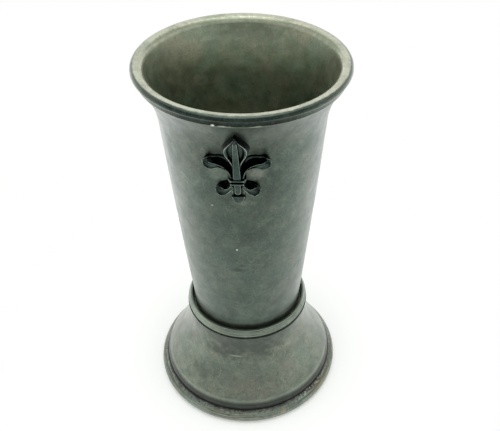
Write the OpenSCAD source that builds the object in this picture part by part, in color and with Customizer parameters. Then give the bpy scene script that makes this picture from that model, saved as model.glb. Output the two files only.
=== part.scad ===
// Footed pewter beaker with a cast fleur-de-lis on the front of its wall.
// It stands on z = 0 with its axis on Z, and the ornament faces -Y. Sizes are in millimetres.

/* [Cup] */
// Height from the table to the top of the lip
beaker_h = 150; // [130:1:180]
// Outer radius of the wall at its lower end, inside the foot
wall_end_r = 21; // [18:0.5:22.5]
// Outer radius of the wall where the lip starts to flare
throat_r = 29.7; // [26:0.1:33]
// How far the side swells out of a straight taper
belly = 0.35; // [0:0.05:1]
// Height of the flare under the lip ring
flare_h = 15.7; // [12:0.1:20]
// Radius of the flare's curve
flare_rad = 31; // [26:0.5:50]
// Radius of the gentler flare inside the cup, which thickens the wall towards the lip
mouth_rad = 52.5; // [45:0.5:70]
// Thickness of the wall below the flare, measured level
wall_t = 1.7; // [1.2:0.1:2.5]
// How far the wall goes down inside the foot
wall_drop = 6; // [5:0.1:9]
// Thickness of the floor disc
floor_t = 1.8; // [1.2:0.1:2.5]
// How far the wall stands below the floor disc
floor_lift = 1.4; // [1.2:0.1:2.5]

/* [Lip ring] */
// Height of the lip ring
lip_h = 4.5; // [4:0.1:6]
// Outer radius of the lip's round bead
rim_r = 37.25; // [36.8:0.05:38.5]
// Radius of the lip's outer round
lip_round = 1.4; // [1:0.1:1.6]
// How far the flat land on top slopes down towards the cup
land_fall = 0.35; // [0.1:0.05:0.8]
// Height of the wall's upright edge inside the lip ring
tenon_h = 1.9; // [1.2:0.1:2.4]
// How far the thin arris under the cove stands out from the wall
arris_w = 0.35; // [0.2:0.05:0.6]

/* [Collar ring] */
// Width of the dark gap between the wall and the collar
crevice_w = 1.3; // [0.8:0.1:1.8]
// Height of the collar ring
collar_h = 4.2; // [3.8:0.1:6]
// Outer radius of the collar's lower edge
collar_r = 25.3; // [25:0.1:26.5]
// Width of the collar's flat top land
collar_land_w = 0.85; // [0.5:0.05:1.1]
// Radius of the collar's bead
collar_bead_rad = 1.5; // [1:0.1:1.7]

/* [Foot] */
// Height of the foot's top above the table
foot_h = 37.1; // [33:0.1:44]
// Outer radius of the foot's neck
neck_r = 24.7; // [24:0.1:25.2]
// Fullness of the bell's inward curve, where 1 curves all the way down to its corner
bell_curve_share = 0.835; // [0.5:0.005:0.95]
// Height of the corner between the bell and the skirt, before it is rounded
corner_h = 7.3; // [6.8:0.1:10]
// Radius of the soft shoulder above the skirt
shoulder_rad = 5; // [3:0.5:6]
// Outer radius of the upright skirt
skirt_r = 36.2; // [34:0.1:38]
// Thickness of the foot's shell
foot_t = 1.6; // [1.2:0.1:2.2]
// Thickness of the flange that holds the wall
flange_t = 2; // [1.5:0.1:3]

/* [Base ring] */
// How far the ring's round stands out from the skirt
ring_out = 2.78; // [2:0.02:3.6]
// Radius of the ring's round
ring_rad = 2.44; // [2.1:0.02:2.8]
// Thickness of the ledge that the skirt stands on
ledge_t = 1; // [0.6:0.1:1.6]

/* [Fleur-de-lis] */
// Width of the ornament round the wall
emblem_w = 22.4; // [18:0.2:28]
// Height of the ornament
emblem_h = 29.5; // [24:0.5:34]
// How far its highest edges stand out from the wall
emblem_relief = 2.6; // [1.5:0.1:3.5]
// Distance from its tip to the lip ring
emblem_drop = 4.7; // [2:0.1:8]

/* [Hidden] */
$fn = 96;

pewter = [0.40, 0.44, 0.41];
worn_pewter = [0.62, 0.65, 0.62];
dark_pewter = [0.26, 0.29, 0.27];
solder_grey = [0.30, 0.31, 0.29];

// Clearance between two fitted pieces, and the solder film behind the ornament
fit = 0.05;
film = 0.06;

// Solder fillets, as seen in section
floor_fillet = 1.1;
crevice_fillet = 1.2;
seam_rise = 1.3;
seam_reach_angle = 62;

// Heights of the main levels
lip_z = beaker_h - lip_h;
flare_z = lip_z - flare_h;
tenon_z = lip_z + tenon_h;
wall_end_z = foot_h - wall_drop;
floor_z = wall_end_z + floor_lift;
collar_z = foot_h + collar_h;
flange_z = foot_h - flange_t;
emblem_top_z = lip_z - emblem_drop;
emblem_low_z = emblem_top_z - emblem_h;

// Small steps of the lip ring's moulding, carried by its height
arris_h = lip_h / 15;
cove_top_z = lip_z + lip_h * 0.56;

// Small steps of the collar's moulding, carried by its height
quirk_h = collar_h / 10;
collar_bead_z = foot_h + collar_h * 0.45;

// Numbers of flat steps that the curved outlines are drawn with
side_steps = 8;
flare_steps = 7;
mouth_steps = 2;
arc_steps = 8;

// Both sides of the wall follow a taper with a slight swelling
function taper_r(z) =
    let (way = (z - wall_end_z) / (flare_z - wall_end_z))
    let (swell = belly * sin(180 * min(max(way, 0), 1)))
    wall_end_r + (throat_r - wall_end_r) * way + swell;

// How far a flare with a given radius has run outwards at a height
function flare(z, radius) = radius - sqrt(pow(radius, 2) - pow(max(0, z - flare_z), 2));

// Radius at a height of the wall's outer side, and of the cup inside it up to the lip's land
function wall_r(z) = taper_r(z) + flare(z, flare_rad);
function cup_r(z) = taper_r(z) - wall_t + flare(z, mouth_rad);

wall_top_r = wall_r(lip_z);
land_z = beaker_h - land_fall;
collar_bore_r = wall_r(collar_z) + crevice_w;

// Heights at which the wall's outline has a point
wall_levels = concat(
    [for (i = [0 : side_steps]) wall_end_z + (flare_z - wall_end_z) * i / side_steps],
    [for (i = [1 : flare_steps]) flare_z + flare_h * i / flare_steps]);

// Points on an arc about a centre, from one angle to another
function arc(centre, radius, from, to) =
    [for (i = [0 : arc_steps])
        let (a = from + (to - from) * i / arc_steps)
        centre + radius * [cos(a), sin(a)]];

function reversed(list) = [for (i = [len(list) - 1 : -1 : 0]) list[i]];

module turned(outline) {
    rotate_extrude() polygon(outline);
}

module beaker_wall() {
    color(pewter) turned(concat(
        [for (z = wall_levels) [wall_r(z), z]],
        [[wall_top_r, tenon_z], [cup_r(tenon_z), tenon_z]],
        [for (z = reversed(wall_levels)) [cup_r(z), z]]));
}

// Hooks over the wall's upright edge: land, outer round, cove and arris
module lip_bead() {
    seat_r = wall_top_r + fit;
    mouth = [for (i = [0 : mouth_steps]) land_z + (tenon_z - land_z) * i / mouth_steps];
    arris_r = seat_r + arris_w;
    round_at = [rim_r - lip_round, beaker_h - lip_round];
    under_at = [rim_r - lip_round / 2, cove_top_z + lip_round / 2];
    cove_w = under_at[0] - arris_r;
    cove_at = [under_at[0], lip_z + arris_h];
    cove_h = cove_top_z - cove_at[1];
    cove = [for (p = arc([0, 0], 1, 90, 180)) [cove_at[0] + cove_w * p[0], cove_at[1] + cove_h * p[1]]];
    color(worn_pewter) turned(concat(
        [[seat_r, tenon_z], [seat_r, lip_z], [arris_r, lip_z]],
        reversed(cove),
        arc(under_at, lip_round / 2, -90, 0),
        arc(round_at, lip_round, 0, 90),
        [for (z = mouth) [cup_r(z), z]]));
}

module cup_floor() {
    color(dark_pewter) translate([0, 0, floor_z])
        cylinder(h = floor_t, r1 = cup_r(floor_z) - fit, r2 = cup_r(floor_z + floor_t) - fit);
}

// Seals the floor to the wall from below
module floor_solder() {
    corner_r = cup_r(floor_z) - fit;
    foot_of_fillet = floor_z - floor_fillet;
    color(solder_grey) turned([
        [corner_r - floor_fillet, floor_z],
        [cup_r(foot_of_fillet) - fit, foot_of_fillet],
        [corner_r, floor_z]]);
}

// Stands on the foot's flange: a flat land, a groove, a bead and a square lower edge
module collar_ring() {
    bead_at = [collar_r - quirk_h / 2 - collar_bead_rad, collar_bead_z];
    land_r = min(collar_bore_r + collar_land_w, bead_at[0] + collar_bead_rad);
    color(pewter) turned(concat(
        [[collar_bore_r, foot_h], [collar_r, foot_h], [collar_r, foot_h + quirk_h]],
        arc(bead_at, collar_bead_rad, -58, 50),
        [[land_r, collar_z - quirk_h], [land_r, collar_z], [collar_bore_r, collar_z]]));
}

// Lies at the bottom of the gap and sags between the wall and the collar
module collar_solder() {
    inner_r = wall_r(foot_h) + fit;
    outer_r = collar_bore_r - fit;
    gap_w = outer_r - inner_r;
    wall_side_z = foot_h + crevice_fillet;
    collar_side_z = foot_h + crevice_fillet * 0.8;
    color(solder_grey) turned([
        [inner_r, foot_h],
        [outer_r, foot_h],
        [outer_r, collar_side_z],
        [outer_r - gap_w * 0.35, foot_h + crevice_fillet * 0.5],
        [inner_r + gap_w * 0.35, foot_h + crevice_fillet * 0.5],
        [wall_r(wall_side_z) + fit, wall_side_z]]);
}

// The bell leaves its neck upright, on an arc that runs into a straight line to the corner
bell_h = foot_h - corner_h;
bell_spread = skirt_r - neck_r;
bell_rad = bell_curve_share * (pow(bell_h, 2) + pow(bell_spread, 2)) / (2 * bell_spread);
corner_from_centre = [bell_rad - bell_spread, bell_h];
bell_angle = atan2(corner_from_centre[1], corner_from_centre[0]) - acos(bell_rad / norm(corner_from_centre));
shoulder_at = [skirt_r - shoulder_rad, corner_h - shoulder_rad * tan(bell_angle / 2)];

// The bell's side from its neck to its skirt, moved inwards by a distance
function bell_side(inwards) = concat(
    [for (p = arc([0, 0], bell_rad + inwards, 180, 180 + bell_angle)) p + [neck_r + bell_rad, foot_h]],
    arc(shoulder_at, shoulder_rad - inwards, bell_angle, 0),
    [[skirt_r - inwards, ledge_t]]);

// A hollow bell with a flange at its top, whose hole follows the wall's taper
module foot_bell() {
    under_flange = [for (p = reversed(bell_side(foot_t))) if (p[1] < flange_z) p];
    color(pewter) turned(concat(
        [[wall_r(foot_h) + fit, foot_h]],
        bell_side(0),
        under_flange,
        [[neck_r - foot_t, flange_z], [wall_r(flange_z) + fit, flange_z]]));
}

// A half-round moulding with an inner ledge that the skirt stands on
module foot_ring() {
    round_at = [skirt_r + ring_out - ring_rad, ring_rad];
    color(pewter) turned(concat(
        [[skirt_r - foot_t, 0]],
        arc(round_at, ring_rad, -90, 90),
        [[skirt_r + fit, 2 * ring_rad], [skirt_r + fit, ledge_t], [skirt_r - foot_t, ledge_t]]));
}

// Runs round the corner between the skirt and the top of the base ring
module foot_solder() {
    round_at = [skirt_r + ring_out - ring_rad, ring_rad];
    seat = arc(round_at, ring_rad + fit / 2, 90, seam_reach_angle);
    toe = seat[arc_steps];
    top_z = 2 * ring_rad + seam_rise;
    color(solder_grey) turned(concat(
        [[skirt_r + fit, 2 * ring_rad + fit / 2]],
        seat,
        [[skirt_r + (toe[0] - skirt_r) * 0.4, 2 * ring_rad + seam_rise * 0.4], [skirt_r + fit, top_z]]));
}

// Places on the ornament are shares: across in half widths, up in heights, out in reliefs
function on_wall(share) =
    let (z = emblem_low_z + share[1] * emblem_h)
    let (turn = share[0] * emblem_w / 2 / wall_r(emblem_low_z + emblem_h / 2) * 180 / PI)
    let (r = wall_r(z) + share[2] * emblem_relief)
    [r * sin(turn), -r * cos(turn), z];

// A point on a rail, which is a smooth line through its points, at an even pace from one to the next
function along(rail, t) =
    let (last = len(rail) - 1)
    let (k = min(floor(t * last), last - 1))
    let (s = t * last - k)
    let (a = rail[k], b = rail[k + 1])
    let (before = k > 0 ? rail[k - 1] : 2 * a - b)
    let (after = k < last - 1 ? rail[k + 2] : 2 * b - a)
    a + (s * (b - before) + s * s * (2 * before - 5 * a + 4 * b - after)
        + pow(s, 3) * (3 * a - before - 3 * b + after)) / 2;

// A point between rails: 0 is on the first, 1 on the second and so on
function between(rails, place, t) =
    let (first = min(max(floor(place), 0), len(rails) - 2))
    let (a = along(rails[first], t))
    let (b = along(rails[first + 1], t))
    a + (b - a) * (place - first);

// How deep the leaves reach behind the wall's face before they are cut to it, in reliefs
root_depth_share = -0.35;

// One leaf of the ornament, skinned over rails that run from its stem to its end, in order from
// the right of the way to its left. Each row of the section holds a place between rails, then
// its relief at each station along the way.
module leaf(rails, stations, section, steps) {
    n = len(section);
    function relief(row, t) = lookup(t, [for (i = [0 : len(stations) - 1]) [stations[i], row[i + 1]]]);
    function row(t) = concat(
        [for (s = section)
            let (p = between(rails, s[0], t))
            on_wall([p[0], p[1], relief(s, t)])],
        [for (s = reversed(section))
            let (p = between(rails, s[0], t))
            on_wall([p[0], p[1], root_depth_share])]);
    points = [for (i = [0 : steps]) each row(i / steps)];
    sides = [for (i = [0 : steps - 1], j = [0 : 2 * n - 1])
        let (a = i * 2 * n, next = (j + 1) % (2 * n))
        each [[a + j, a + next, a + 2 * n + j], [a + next, a + 2 * n + next, a + 2 * n + j]]];
    caps = [for (end = [0, 1], j = [0 : n - 2])
        let (a = end * steps * 2 * n, far = a + 2 * n - 1)
        each end == 0
            ? [[a + j, far - j, a + j + 1], [far - j, far - j - 1, a + j + 1]]
            : [[a + j, a + j + 1, far - j], [far - j, a + j + 1, far - j - 1]]];
    polyhedron(points = points, faces = concat(sides, caps), convexity = 6);
}

// A tapered stud that stands out from the wall, for hulls: its place and relief are shares
module stud(place, radius_share, relief_share) {
    radius = radius_share * emblem_w / 2;
    reach = (relief_share - root_depth_share) * emblem_relief;
    turn = place[0] * emblem_w / 2 / wall_r(emblem_low_z + emblem_h / 2) * 180 / PI;
    translate(on_wall([place[0], place[1], root_depth_share]))
        rotate([90, 0, turn])
            cylinder(h = reach, r1 = radius * 1.25, r2 = radius * 0.8, $fn = 20);
}

// Studs on both sides of the middle line
module stud_pair(place, radius_share, relief_share) {
    stud(place, radius_share, relief_share);
    stud([-place[0], place[1]], radius_share, relief_share);
}

// Right half of the upright middle leaf: its foot on the wall and its raised border
middle_rails_shares = [
    [[0.19, 0.37], [0.19, 0.50], [0.205, 0.61], [0.27, 0.69], [0.36, 0.75],
     [0.385, 0.80], [0.305, 0.865], [0.19, 0.925], [0.08, 0.97], [0.01, 1]],
    [[0.12, 0.37], [0.115, 0.50], [0.115, 0.59], [0.165, 0.65], [0.255, 0.715],
     [0.29, 0.785], [0.25, 0.845], [0.155, 0.90], [0.063, 0.945], [0.005, 0.975]]];
middle_stations = [0, 0.33, 0.8, 1];
middle_section_shares = [[0, 0, 0, 0, 0], [0.9, 0.45, 0.88, 0.9, 0.5], [1, 0.5, 0.98, 1, 0.6],
    [1.06, 0.5, 0.95, 0.97, 0.6], [1.2, 0.46, 0.55, 0.6, 0.58], [1.5, 0.5, 0.62, 0.72, 0.6]];

// The upright middle leaf, which is the same on both sides of its midrib
module middle_leaf() {
    half = middle_section_shares;
    other_rails = [for (rail = reversed(middle_rails_shares)) [for (p = rail) [-p[0], p[1]]]];
    other_half = [for (row = reversed(half)) if (row[0] < 1.5)
        [3 - row[0], each [for (j = [1 : 4]) row[j]]]];
    leaf(concat(middle_rails_shares, other_rails), middle_stations, concat(half, other_half), 27);
}

// Right side leaf, which rises from the band and droops: its lower edge, its crest and its foot
side_rails_shares = [
    [[0.18, 0.41], [0.245, 0.49], [0.375, 0.54], [0.535, 0.545],
     [0.715, 0.513], [0.885, 0.535], [0.93, 0.59]],
    [[0.15, 0.415], [0.22, 0.505], [0.345, 0.565], [0.52, 0.6], [0.69, 0.605], [0.83, 0.6], [0.94, 0.6]],
    [[0.105, 0.43], [0.17, 0.555], [0.295, 0.67], [0.475, 0.69],
     [0.65, 0.675], [0.85, 0.667], [0.955, 0.615]]];
side_stations = [0, 0.5, 0.7, 0.84, 1];
side_section_shares = [[-0.25, 0, 0, 0, 0, 0], [0, 0.84, 0.88, 0.86, 0.86, 0.84],
    [0.2, 0.84, 0.72, 0.62, 0.6, 0.84], [0.5, 0.86, 0.66, 0.55, 0.4, 0.84],
    [0.8, 0.92, 0.86, 0.75, 0.45, 0.84], [1, 1, 0.98, 0.9, 0.55, 0.86],
    [1.15, 0.7, 0.66, 0.6, 0.5, 0.86], [1.5, 0.25, 0.2, 0.22, 0.5, 0.84],
    [1.82, 0.1, 0.1, 0.2, 0.84, 0.84], [2, 0, 0, 0, 0, 0]];

// Right tail below the band, which curls outwards: its lower edge, its crest and its foot
tail_rails_shares = [
    [[0.115, 0.245], [0.19, 0.215], [0.26, 0.185], [0.355, 0.155],
     [0.475, 0.137], [0.58, 0.163], [0.635, 0.21]],
    [[0.17, 0.305], [0.22, 0.28], [0.275, 0.255], [0.355, 0.24],
     [0.455, 0.247], [0.555, 0.242], [0.64, 0.22]],
    [[0.18, 0.355], [0.26, 0.337], [0.34, 0.327], [0.43, 0.315],
     [0.52, 0.297], [0.607, 0.268], [0.67, 0.225]]];
tail_stations = [0, 0.45, 0.65, 0.84, 1];
tail_section_shares = [[-0.25, 0, 0, 0, 0, 0], [0, 0.6, 0.72, 0.8, 0.84, 0.82],
    [0.2, 0.6, 0.66, 0.66, 0.62, 0.82], [0.5, 0.62, 0.6, 0.52, 0.42, 0.82],
    [0.8, 0.75, 0.74, 0.62, 0.45, 0.82], [1, 0.9, 0.88, 0.74, 0.52, 0.84],
    [1.15, 0.65, 0.6, 0.56, 0.5, 0.84], [1.5, 0.25, 0.2, 0.25, 0.5, 0.82],
    [1.82, 0.1, 0.1, 0.2, 0.8, 0.82], [2, 0, 0, 0, 0, 0]];

// The midrib tapers from the band to the tip and bends with the wall's flare
module midrib() {
    studs_shares = [[0.40, 0.135, 1.06], [0.73, 0.092, 1.1], [0.915, 0.07, 1], [0.96, 0.03, 0.72]];
    for (i = [1 : len(studs_shares) - 1]) {
        hull() for (s = [studs_shares[i - 1], studs_shares[i]]) stud([0, s[0]], s[1], s[2]);
    }
}

// A block with two ridges and sloping sides that binds the leaves
module band() {
    hull() {
        stud_pair([0.165, 0.392], 0.04, 0.95);
        stud_pair([0.165, 0.335], 0.04, 0.95);
    }
    hull() {
        stud_pair([0.212, 0.385], 0.045, 0.8);
        stud_pair([0.175, 0.33], 0.04, 0.8);
    }
    for (level_share = [0.386, 0.338]) {
        hull() stud_pair([0.158, level_share], 0.04, 1.14);
    }
}

// Stem and rounded end below the band, on a low plate between the tails
module tail_end() {
    hull() {
        stud_pair([0.17, 0.3], 0.05, 0.3);
        stud_pair([0.13, 0.12], 0.05, 0.3);
    }
    hull() {
        stud([0, 0.31], 0.11, 0.85);
        stud([0, 0.195], 0.1, 0.8);
    }
    hull() {
        stud_pair([0.15, 0.113], 0.04, 0.6);
        stud([0, 0.073], 0.18, 0.58);
    }
}

// What lies behind the ornament: the wall's face with the solder film on it
module wall_core() {
    turned(concat(
        [[0, wall_end_z]],
        [for (z = wall_levels) [wall_r(z) + film, z]],
        [[wall_top_r + film, tenon_z], [0, tenon_z]]));
}

module fleur_de_lis() {
    color(dark_pewter) difference() {
        union() {
            middle_leaf();
            for (side = [0, 1]) mirror([side, 0, 0]) {
                leaf(side_rails_shares, side_stations, side_section_shares, 18);
                leaf(tail_rails_shares, tail_stations, tail_section_shares, 18);
            }
            midrib();
            band();
            tail_end();
        }
        wall_core();
    }
}

beaker_wall();
lip_bead();
cup_floor();
floor_solder();
fleur_de_lis();
collar_ring();
collar_solder();
foot_bell();
foot_ring();
foot_solder();
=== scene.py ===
"""A footed pewter beaker in its aged finish, on white paper in soft light.

The turned pieces are spun again from their sections, with softened edges and the slight
unevenness of hand work, and the ornament is modelled again at full fineness. Lengths are
in metres, and the frame is the CAD model's: +Z up, with the ornament facing -Y.
"""
from math import acos, atan2, ceil, cos, hypot, pi, radians, sin, sqrt, tan

import bmesh
import bpy
import numpy as np
from mathutils import Matrix, Vector


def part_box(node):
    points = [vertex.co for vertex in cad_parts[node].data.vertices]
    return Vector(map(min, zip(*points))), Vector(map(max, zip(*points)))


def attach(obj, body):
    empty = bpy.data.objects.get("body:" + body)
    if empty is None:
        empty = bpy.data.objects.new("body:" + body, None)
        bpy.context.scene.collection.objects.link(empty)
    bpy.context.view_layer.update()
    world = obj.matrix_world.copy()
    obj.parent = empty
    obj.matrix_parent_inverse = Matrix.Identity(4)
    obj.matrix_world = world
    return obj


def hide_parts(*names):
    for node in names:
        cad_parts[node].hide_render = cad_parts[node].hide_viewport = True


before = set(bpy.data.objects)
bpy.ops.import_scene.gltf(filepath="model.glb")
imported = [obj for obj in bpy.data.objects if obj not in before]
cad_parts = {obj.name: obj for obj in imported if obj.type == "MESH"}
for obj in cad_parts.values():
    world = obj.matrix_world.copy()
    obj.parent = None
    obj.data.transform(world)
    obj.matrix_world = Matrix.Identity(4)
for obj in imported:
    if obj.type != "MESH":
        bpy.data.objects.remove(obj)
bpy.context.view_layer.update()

MM = 0.001
FIT = 0.05 * MM

# The photograph's frame, and the camera that was fitted to it
PHOTO_W, PHOTO_H = 500, 431
FOCAL_PX = 701.3
CENTRE_PX = (283.1, 189.5)
SENSOR_MM = 36.0
CAMERA_BACK = 211.2 * MM
CAMERA_RISE = 259.4 * MM
CAMERA_ROUND = 0.083
CAMERA_PITCH = 0.664
CAMERA_YAW = 0.054
CAMERA_ROLL = -0.022

# The stage: the paper, its glow for the eye and in the metal, the room's light and its sides, and the lamp
PAPER_R = 110 * MM
PAPER_GLOW = 0.18
PAPER_SHINE = 0.5
ROOM_LIGHT = 0.9
SIDE_GLOW = 1.1
LAMP_PLACE = Vector((0, -0.1, 0.8))
LAMP_AIM = Vector((0, 0, 0.08))
LAMP_SIZE = 0.6
LAMP_WATTS = 2

# The cup: levels, radii and curves
BEAKER_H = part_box("lip_bead")[1].z
WALL_END_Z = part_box("beaker_wall")[0].z
TENON_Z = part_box("beaker_wall")[1].z
LIP_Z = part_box("lip_bead")[0].z
FLARE_Z = LIP_Z - 15.7 * MM
WALL_END_R = 21.0 * MM
THROAT_R = 29.7 * MM
BELLY = 0.35 * MM
FLARE_RAD = 31.0 * MM
MOUTH_RAD = 52.5 * MM
WALL_T = 1.7 * MM

# The lip ring
RIM_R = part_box("lip_bead")[1].x
LIP_ROUND = 1.4 * MM
LAND_Z = BEAKER_H - 0.35 * MM
MOUTH_ROLL = 1.2 * MM
ARRIS_W = 0.35 * MM
ARRIS_H = 0.3 * MM
COVE_TOP_Z = LIP_Z + 2.52 * MM
MOUTH_STEPS = 10

# The floor disc
FLOOR_Z, FLOOR_TOP_Z = (corner.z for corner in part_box("cup_floor"))
FLOOR_FILLET = 1.1 * MM

# The collar ring, and the fillet of solder that dips in the middle of its crevice
FOOT_H, COLLAR_Z = (corner.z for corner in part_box("collar_ring"))
COLLAR_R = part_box("collar_ring")[1].x
CREVICE_W = 1.3 * MM
COLLAR_LAND_W = 0.85 * MM
COLLAR_BEAD_RAD = 1.5 * MM
QUIRK_H = 0.42 * MM
COLLAR_BEAD_Z = FOOT_H + 1.89 * MM
COLLAR_BEAD_ENDS = radians(-58), radians(50)
CREVICE_FILLET = 1.2 * MM
DIP_IN_SHARE, DIP_Z_SHARE = 0.35, 0.5
COLLAR_SIDE_SHARE = 0.8

# The foot and its base ring
NECK_R = 24.7 * MM
BELL_CURVE_SHARE = 0.835
CORNER_H = 7.3 * MM
SHOULDER_RAD = 5.0 * MM
SKIRT_R = 36.2 * MM
FOOT_T = 1.6 * MM
FLANGE_Z = FOOT_H - 2.0 * MM
LEDGE_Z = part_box("foot_bell")[0].z
RING_OUT = 2.78 * MM
RING_RAD = 2.44 * MM
SEAM_RISE = 1.3 * MM
SEAM_REACH = radians(62)
SEAM_TOP_Z = 2 * RING_RAD + SEAM_RISE
SEAM_TOE_SHARE = 0.4

# The fleur-de-lis: its size, and where it sits on the wall
EMBLEM_W = 22.4 * MM
EMBLEM_H = 29.5 * MM
EMBLEM_RELIEF = 2.6 * MM
EMBLEM_LOW_Z = LIP_Z - 4.7 * MM - EMBLEM_H
EMBLEM_ROOT_SHARE = -0.06
EMBLEM_TILT = radians(0.9)
LEAF_STEPS = 96
LEAF_FINENESS = 6
MIDRIB_STEPS = 60
STUD_SIDES = 24
CAST_VOXEL = 0.115 * MM

# How finely the turned pieces are spun, and how wear and hand work left them
SIDE_STEP = 1.5 * MM
PLAIN_FACETS = 240
SHOWN_FACETS = 360
SEAM_FACETS = 720
SAME_PLACE = 0.001 * MM
MERGE_REACH = 0.002 * MM
SHARP_TURN = radians(20)
EDGE_WEAR = 0.12 * MM
FLUSH_WEAR = 0.01 * MM
WEAR_SIDE_SHARE = 0.33
HELD_FLAT_SHARE = 1.4
OUT_OF_ROUND = 0.1 * MM
WAVE_LENGTH = 40 * MM
WAVE_TOP = 0.7

# Where the finishes, and the painted light and shade, change on the beaker
# Painted light: the cup's inside is painted paler from the first level down to the second
INSIDE_LIT_FROM_Z, INSIDE_LIT_FULL_Z = BEAKER_H - 4 * MM, BEAKER_H - 20 * MM
STAINED_FROM_Z, STAINED_FULL_Z = BEAKER_H - 45 * MM, BEAKER_H - 15 * MM
# Painted light: the wall is painted paler from here down to the collar
WALL_LIT_FROM_Z = COLLAR_Z + 4 * MM
RUBBED_FROM_R, RUBBED_FULL_R = RIM_R - 0.7 * MM, RIM_R - 1.2 * MM
RUBBED_FROM_Z, RUBBED_FULL_Z = LAND_Z - 2 * MM, LAND_Z - 0.8 * MM
BEAD_CREST_R = RIM_R - 0.65 * MM
# Painted light: the lip is painted paler from here round its sides and back
BEAD_LIT_FROM_Y, BEAD_LIT_FULL_Y = -31 * MM, -14 * MM
# Painted shade: the land's inner edge is painted darker at the back
ROLLED_R = RIM_R - 3.75 * MM
ROLLED_FROM_Y, ROLLED_FULL_Y = -8 * MM, 12 * MM
# Painted shade: the foot is painted darker in front under the collar
NECK_SHADE_FROM_Y, NECK_SHADE_FULL_Y = -10 * MM, -21 * MM
NECK_SHADE_FROM_Z, NECK_SHADE_FULL_Z = FOOT_H - 8 * MM, FOOT_H - 2 * MM
# Painted highlight along the foot's shoulder
SHOULDER_HIGHLIGHT_Z = SEAM_TOP_Z + 3.4 * MM
# Painted shade: the foot's skirt is painted dark from the first level down to the second
SKIRT_SHADE_FROM_Z, SKIRT_SHADE_FULL_Z = SEAM_TOP_Z + 3 * MM, SEAM_TOP_Z + 2 * MM

# Roughness of a finish, from its smoothest patches to its dullest
SATIN = (0.36, 0.5)
RUBBED = (0.3, 0.42)
SCUFFED = (0.38, 0.56)

# A mark's crumbled edge: the size of its crumbs, how far they break it up, and where it starts and is full
MARK_CRUMB = 2.4 * MM
MARK_RAGGED = 1.6
MARK_FROM, MARK_FULL = 1.75, 1.05

# Relief that only catches the light
GRAIN_H = 0.012 * MM
LATHE_LINE_H = 0.012 * MM
DENT_H = 0.06 * MM
SHALLOW_DENT_H = 0.02 * MM
KNOCK_H = 0.03 * MM
CRUST_H = 0.12 * MM
CAST_GRAIN_H = 0.03 * MM


def linear(hex_colour):
    """An sRGB hex colour as linear red, green, blue and alpha."""
    parts = [int(hex_colour[i:i + 2], 16) / 255 for i in (1, 3, 5)]
    return [c / 12.92 if c <= 0.04045 else ((c + 0.055) / 1.055) ** 2.4 for c in parts] + [1.0]


def add(tree, kind, links=None, **settings):
    """Adds a node with its settings. A link's value is a socket to join, or a number or colour to hold."""
    node = tree.nodes.new(kind)
    for name, value in settings.items():
        setattr(node, name, value)
    for name, value in (links or {}).items():
        if isinstance(value, bpy.types.NodeSocket):
            tree.links.new(value, node.inputs[name])
        else:
            node.inputs[name].default_value = value
    return node


def new_object(name, data):
    made = bpy.data.objects.new(name, data)
    bpy.context.scene.collection.objects.link(made)
    return made


# Sections of the turned pieces, as points of radius and height in order round the outline


def taper_r(z):
    way = (z - WALL_END_Z) / (FLARE_Z - WALL_END_Z)
    swell = BELLY * sin(pi * min(max(way, 0), 1))
    return WALL_END_R + (THROAT_R - WALL_END_R) * way + swell


def flare(z, radius):
    return radius - sqrt(radius ** 2 - max(0, z - FLARE_Z) ** 2)


def wall_r(z):
    return taper_r(z) + flare(z, FLARE_RAD)


def cup_r(z):
    return taper_r(z) - WALL_T + flare(z, MOUTH_RAD)


def arc(centre, radius, start, end, steps=12):
    turns = (start + (end - start) * i / steps for i in range(steps + 1))
    return [(centre[0] + radius * cos(turn), centre[1] + radius * sin(turn)) for turn in turns]


def side(radius_at, start, end):
    """Points up or down a side whose radius is a function of the height."""
    count = max(1, ceil(abs(end - start) / SIDE_STEP))
    levels = (start + (end - start) * i / count for i in range(count + 1))
    return [(radius_at(z), z) for z in levels]


def wall_section():
    return side(wall_r, WALL_END_Z, LIP_Z) + [(wall_r(LIP_Z), TENON_Z)] + side(cup_r, TENON_Z, WALL_END_Z)


def lip_section():
    seat_r = wall_r(LIP_Z) + FIT
    arris_r = seat_r + ARRIS_W
    under = (RIM_R - LIP_ROUND / 2, COVE_TOP_Z + LIP_ROUND / 2)
    cove_w, cove_h = under[0] - arris_r, COVE_TOP_Z - LIP_Z - ARRIS_H
    cove = [(under[0] + cove_w * x, LIP_Z + ARRIS_H + cove_h * y) for x, y in arc((0, 0), 1, pi, pi / 2)]
    return ([(seat_r, TENON_Z), (seat_r, LIP_Z), (arris_r, LIP_Z)] + cove
            + arc(under, LIP_ROUND / 2, -pi / 2, 0, 6)
            + arc((RIM_R - LIP_ROUND, BEAKER_H - LIP_ROUND), LIP_ROUND, 0, pi / 2)
            + mouth_edge() + side(cup_r, LAND_Z - MOUTH_ROLL, TENON_Z)[1:])


def mouth_edge():
    """The land's inner edge, which drinkers have worn so that it rolls over into the cup."""
    corner, bead_top = np.array((cup_r(LAND_Z), LAND_Z)), np.array((RIM_R - LIP_ROUND, BEAKER_H))
    start = corner + (bead_top - corner) * MOUTH_ROLL / (bead_top - corner)[0]
    end = np.array((cup_r(LAND_Z - MOUTH_ROLL), LAND_Z - MOUTH_ROLL))
    return [tuple((1 - t) ** 2 * start + 2 * t * (1 - t) * corner + t * t * end)
            for t in np.linspace(0, 1, MOUTH_STEPS + 1)]


def floor_section():
    return [(0, FLOOR_Z), (cup_r(FLOOR_Z) - FIT, FLOOR_Z), (cup_r(FLOOR_TOP_Z) - FIT, FLOOR_TOP_Z),
            (0, FLOOR_TOP_Z)]


def floor_solder_section():
    corner_r = cup_r(FLOOR_Z) - FIT
    low = FLOOR_Z - FLOOR_FILLET
    return [(corner_r - FLOOR_FILLET, FLOOR_Z), (cup_r(low) - FIT, low), (corner_r, FLOOR_Z)]


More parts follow.
